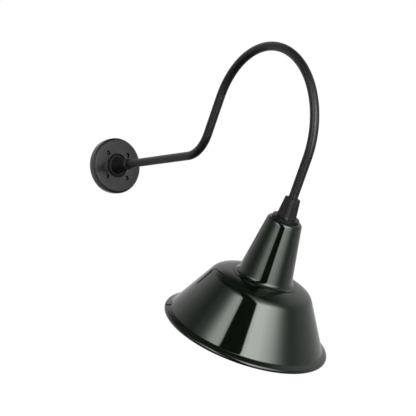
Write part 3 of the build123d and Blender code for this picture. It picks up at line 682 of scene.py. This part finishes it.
# Distances down the shade's axis, each with the side of the square there.
stations = [(fitter_top, top_side - 1.9), (87.32, top_side - 1.1), (87.62, top_side - 0.45)]
stations += [(88.1, top_side + taper * 0.9)]
stations += [(u, top_side + taper * (u - fitter_top)) for u in (96.0, 105.0, 114.0, 122.0, 126.4)]
stations += [(127.6, foot_side + 0.1), (128.4, foot_side + 0.9), (128.9, foot_side + 2.2)]
stations += [(129.3, foot_side + 2.6)]
fitter_mesh = bpy.data.meshes.new("fitter_casting")
fitter_shape = bmesh.new()
loops = []
for u, side in stations:
    corner_cut, corner_round = 3.55 * side / 29.2 + 0.2, 1.3
    loop = []
    for point in four_sided(side, corner_cut, corner_round):
        x = point.x * cos(fitter_turn) - point.y * sin(fitter_turn)
        y = point.x * sin(fitter_turn) + point.y * cos(fitter_turn)
        loop.append(fitter_shape.verts.new(arch_end + (down * u + across * x + inward * y) * mm))
    loops.append(loop)
size = len(loops[0])
bore = []
for depth in (fitter_top, 110.0):
    bore.append([])
    for vert in loops[0]:
        out = vert.co - arch_end
        out = (out - down * out.dot(down)).normalized()
        bore[-1].append(fitter_shape.verts.new(arch_end + (down * depth + out * socket) * mm))
for lower, upper in (*zip(loops, loops[1:]), (bore[1], bore[0]), (bore[0], loops[0])):
    for k in range(size):
        after = (k + 1) % size
        fitter_shape.faces.new((lower[k], lower[after], upper[after], upper[k]))
fitter_shape.faces.new(loops[-1])
fitter_shape.faces.new(bore[1][::-1])
flange = turned(
    "flange",
    rounded(
        [
            (10.5, fitter_foot, 0), (28.6, fitter_foot, 1.3), (28.6, 133.2, 1.2), (22.0, 133.2, 0),
            (22.0, 141.0, 0.3), (18.5, 141.0, 0), (18.5, 131.0, 0), (10.5, 131.0, 0),
        ]
    ),
    arch_end, down, 144,
)
fitter_shape.from_mesh(flange)
bmesh.ops.recalc_face_normals(fitter_shape, faces=fitter_shape.faces)
# Faces from the flange down take the darker hub coat: painted shade on the flange.
flange_start = 128.9 * mm
for face in fitter_shape.faces:
    face.material_index = 1 if (face.calc_center_median() - arch_end).dot(down) > flange_start else 0
fitter_shape.to_mesh(fitter_mesh)
fitter_shape.free()
fitter_coat = finish(
    "powder coat on the fitter", (0.0052, 0.0052, 0.0055), 0.40, grain=1.1, depth=0.012, broad=14,
    mottle=0.2, gloss_change=0.04, worn=(0.022, 0.022, 0.022), wear=0.2, reach=0.8, dust=0.03,
    Specular_IOR_Level=0.34,
)
fit(
    "fitter_casting", fitter_mesh, "arm_and_shade", "coated_casting", ["fitter"], fitter_coat, shade_dark_coat,
    corner=30,
)
dress("fitter_set_screw", screw_black, 25)
rubber = finish("black rubber", (0.016, 0.016, 0.016), 0.6, grain=0.8, depth=0.02, broad=8, mottle=0.2)
dress("fitter_gasket", rubber)
dress("shade_lock_ring", zinc, 25)
dress("earth_lug_screw", earth_green, 25)

# ---- Neck of the shade -----------------------------------------------------------------------
# Pressed from steel sheet, then dipped and fired: deep green-black enamel outside and white
# enamel inside. The top is flat round the spigot, with a rounded shoulder.
green_enamel = finish(
    "green-black enamel", (0.0023, 0.0054, 0.0024), 0.05, grain=9.0, depth=0.0035, broad=60, mottle=0.08,
    gloss_change=0.012, worn=(0.008, 0.014, 0.009), wear=0.15, reach=0.5, IOR=1.5,
    Specular_Tint=(0.945, 1.0, 0.935, 1),
)
white_enamel = finish(
    "white enamel", (0.80, 0.80, 0.77), 0.10, grain=7.0, depth=0.006, broad=50, mottle=0.025,
    gloss_change=0.02, worn=(0.12, 0.12, 0.12), wear=0.3, reach=0.5,
)


def sheet(line, thickness):
    """A closed outline for sheet metal: the line, and its copy on the left, thickness away."""
    inner = []
    for count, point in enumerate(line):
        before = line[max(0, count - 1)]
        after = line[min(len(line) - 1, count + 1)]
        heading = (after - before).normalized()
        inner.append(point + Vector((-heading.y, heading.x)) * thickness)
    return list(line) + inner[::-1]


def stretched(line, longest):
    """The same line, with points added so that no piece of it is longer than this."""
    points = [line[0]]
    for first, last in zip(line, line[1:]):
        parts = max(1, ceil((last - first).length / longest))
        points += [first.lerp(last, part / parts) for part in range(1, parts + 1)]
    return points


thickness, longest_face = 1.3, 9.0
neck_top, neck_foot, neck_radius, neck_flare = 134.6, 256.0, 36.25, 0.1676
neck_end = neck_radius + neck_flare * (neck_foot - neck_top)
neck_line = rounded([(22.3, neck_top, 0), (neck_radius, neck_top, 8.0), (neck_end, neck_foot, 0)], 4.0)
neck_outline = sheet(stretched(neck_line, longest_face), thickness)
fit(
    "shade_neck_enamel",
    turned("shade_neck_enamel", neck_outline, arch_end, down, 240, inside=len(neck_outline) // 2),
    "arm_and_shade", "green_enamel", ["shade_neck"], green_enamel, white_enamel, corner=40,
)

# ---- Foot ring of the neck -------------------------------------------------------------------
# Butt-welded to the end of the cone before the enamelling, so no seam shows. It curves out
# into a flange that lies on the roof of the skirt.
foot_depth, foot_radius, foot_slope = 265.63, 68.5, 0.0905
foot_corner = neck_radius + neck_flare * (foot_depth - neck_top)
foot_edge = foot_depth + foot_slope * (foot_radius - foot_corner)
foot_line = rounded(
    [(neck_end, neck_foot, 0), (foot_corner, foot_depth, 9.0), (foot_radius, foot_edge, 0)], 4.0
)
foot_outline = sheet(foot_line, thickness)
fit(
    "shade_foot_enamel",
    turned("shade_foot_enamel", foot_outline, arch_end, down, 240, inside=len(foot_outline) // 2),
    "arm_and_shade", "green_enamel", ["shade_neck_foot"], green_enamel, white_enamel, corner=40,
)

# ---- Skirt of the shade ----------------------------------------------------------------------
# Spun from the same sheet: a domed roof, a round shoulder and a straight flared wall. Above
# the rim the wall turns sharply outwards, and the edge is rolled into a bead.
roof_angle, wall_angle = radians(25.3), radians(60.1)
roof_inner, roof_flat, roof_top, roof_radius = 50.0, 54.0, 267.0, 105.0
shoulder_radius, wall_foot = 26.6, 165.2
skirt_line = [Vector((roof_inner, roof_top)), Vector((roof_flat, roof_top))]
for count in range(1, 14):
    angle = roof_angle * count / 13
    skirt_line.append(
        Vector((roof_flat + roof_radius * sin(angle), roof_top + roof_radius * (1 - cos(angle))))
    )
shoulder_centre = skirt_line[-1] + Vector((-sin(roof_angle), cos(roof_angle))) * shoulder_radius
for count in range(1, 15):
    angle = roof_angle + (wall_angle - roof_angle) * count / 14
    skirt_line.append(shoulder_centre + Vector((sin(angle), -cos(angle))) * shoulder_radius)
wall_start = skirt_line.pop()
wall_end = wall_start + Vector((1, tan(wall_angle))) * (wall_foot - wall_start.x)
bead_centre, bead = Vector((172.9, 391.9)), 4.7
to_bead = bead_centre - wall_end
lean_in = asin(bead / to_bead.length)
flare = atan2(to_bead.y, to_bead.x) - lean_in
flare_end = wall_end + Vector((cos(flare), sin(flare))) * to_bead.length * cos(lean_in)
skirt_line += rounded([(*wall_start, 0), (*wall_end, 4.0), (*flare_end, 0)], 5.0)
roll_start = atan2(flare_end.y - bead_centre.y, flare_end.x - bead_centre.x)
rolled = radians(265.0)
for count in range(1, 34):
    angle = roll_start + rolled * count / 33
    skirt_line.append(bead_centre + Vector((cos(angle), sin(angle))) * bead)
skirt_outline = sheet(stretched(skirt_line, longest_face), thickness)
fit(
    "shade_skirt_enamel",
    turned("shade_skirt_enamel", skirt_outline, arch_end, down, 360, inside=len(skirt_outline) // 2),
    "arm_and_shade", "green_enamel", ["shade_skirt"], green_enamel, white_enamel, corner=40,
)

# ---- Lampholder ------------------------------------------------------------------------------
# White glazed porcelain, screwed up against the fitter by two long screws, with brass
# terminals on top and a rolled brass shell inside.
porcelain = finish(
    "glazed porcelain", (0.80, 0.785, 0.74), 0.16, grain=5.0, depth=0.01, broad=18, mottle=0.04,
    gloss_change=0.05, worn=(0.62, 0.59, 0.53), wear=0.3, reach=0.8,
)
plain_brass = finish(
    "plain brass", (0.72, 0.50, 0.20), 0.30, metallic=1.0, grain=0.5, depth=0.008, broad=6, mottle=0.18,
    gloss_change=0.08, worn=(0.85, 0.66, 0.32), wear=0.5, reach=0.3,
)
nickel = finish(
    "nickelled brass", (0.60, 0.57, 0.50), 0.26, metallic=1.0, grain=0.6, depth=0.01, broad=8, mottle=0.14,
    gloss_change=0.07, worn=(0.70, 0.52, 0.24), wear=0.5, reach=0.3,
)
dress("lampholder_body", porcelain, 30)
dress("lampholder_screws", zinc, 25)
dress("terminal_plates", plain_brass)
dress("terminal_screws", plain_brass, 25)
dress("earth_lug", plain_brass)
dress("centre_contact", plain_brass)
pitch, thread_depth, brass_thickness, thread_step = 3.63, 0.55, 0.35, 0.45


def thread_height(distance, turn):
    """How far the rolled thread stands out, at a distance along the axis and a turn round it."""
    return thread_depth * (0.5 + 0.5 * cos(tau * (distance / pitch - turn / tau)))


def shell_thread(radius, distance, turn):
    """Pushes the middle of the lampholder's shell inwards along a screw thread."""
    if radius < 13.0 or not 163.5 < distance < 185.5:
        return radius
    return radius - thread_height(distance, turn)


shell_line = stretched([Vector(p) for p in ((6.5, 160.5), (14.55, 160.5), (14.55, 187.9))], thread_step)
fit(
    "lampholder_thread",
    turned("lampholder_thread", sheet(shell_line, brass_thickness), arch_end, down, 96, shell_thread),
    "arm_and_shade", "brass_nickel", ["lampholder_shell"], nickel, corner=50,
)

# ---- Lamp ------------------------------------------------------------------------------------
# A round frosted lamp: a blown glass ball on a short cone, a glass stem with the filament, and
# a rolled cap with seven threads to the inch, black glass insulator and soldered tip.
frosted = finish(
    "frosted glass", (0.93, 0.92, 0.89), 0.42, grain=0.5, depth=0.006, broad=12, mottle=0.03,
    gloss_change=0.06, Transmission_Weight=0.55, IOR=1.5,
)
clear = finish(
    "clear glass", (0.95, 0.97, 0.96), 0.05, grain=4.0, depth=0.004, broad=10, mottle=0.02, gloss_change=0.02,
    Transmission_Weight=1.0, IOR=1.5,
)
tungsten = finish(
    "tungsten", (0.20, 0.20, 0.21), 0.4, metallic=1.0, grain=0.2, depth=0.01, broad=2, mottle=0.2
)
black_glass = finish("black glass", (0.012, 0.012, 0.013), 0.12, grain=1.5, depth=0.01, broad=4, mottle=0.2)
solder = finish(
    "solder", (0.62, 0.62, 0.63), 0.33, metallic=1.0, grain=0.8, depth=0.05, broad=2, mottle=0.15,
    gloss_change=0.1,
)
ball_radius, ball_middle, cone_start, glass_foot, glass_wall = 30.0, 240.0, 196.0, 183.0, 0.8


def globe(inset):
    """The glass outline from the foot to the bottom of the ball, drawn inside by the inset."""
    ball, cap_end, cone_top = ball_radius - inset, 12.1 - inset, 13.4 - inset
    reach = hypot(cone_top, ball_middle - cone_start)
    half_ball = asin(ball / reach)
    lean = atan2(ball_middle - cone_start, -cone_top) - half_ball
    cone = reach * cos(half_ball)
    line = rounded(
        [
            (0.01, glass_foot + inset, 0), (cap_end, glass_foot + inset, 0.6), (cap_end, 189.0, 3.0),
            (cone_top, cone_start, 12.0), (cone_top + cone * cos(lean), cone_start + cone * sin(lean), 0),
        ],
        5.0,
    )
    for count in range(1, 41):
        angle = lean - pi / 2 + (pi - lean) * count / 40
        line.append(Vector((max(0.01, ball * cos(angle)), ball_middle + ball * sin(angle))))
    return line


fit(
    "lamp_globe", turned("lamp_globe", globe(0) + globe(glass_wall)[::-1], arch_end, down, 128), "lamp",
    "lamp_glass_white", ["lamp_glass"], frosted, corner=50,
)
dress("lamp_stem", clear)
dress("lamp_filament", tungsten)
dress("lamp_insulator", black_glass)
dress("lamp_contact", solder)


def cap_thread(radius, distance, turn):
    """Rolls the screw thread into the straight part of the lamp's cap."""
    if radius < 11.0 or not 169.5 < distance < 186.5:
        return radius
    return radius + thread_height(distance, turn) - 0.05


cap_corners = ((6.0, 166.0), (9.0, 166.0), (12.6, 168.4), (12.6, 188.0))
cap_line = stretched([Vector(p) for p in cap_corners], thread_step)
fit(
    "lamp_screw_cap",
    turned("lamp_screw_cap", sheet(cap_line, brass_thickness), arch_end, down, 96, cap_thread),
    "lamp", "brass_nickel", ["lamp_cap"], nickel, corner=50,
)
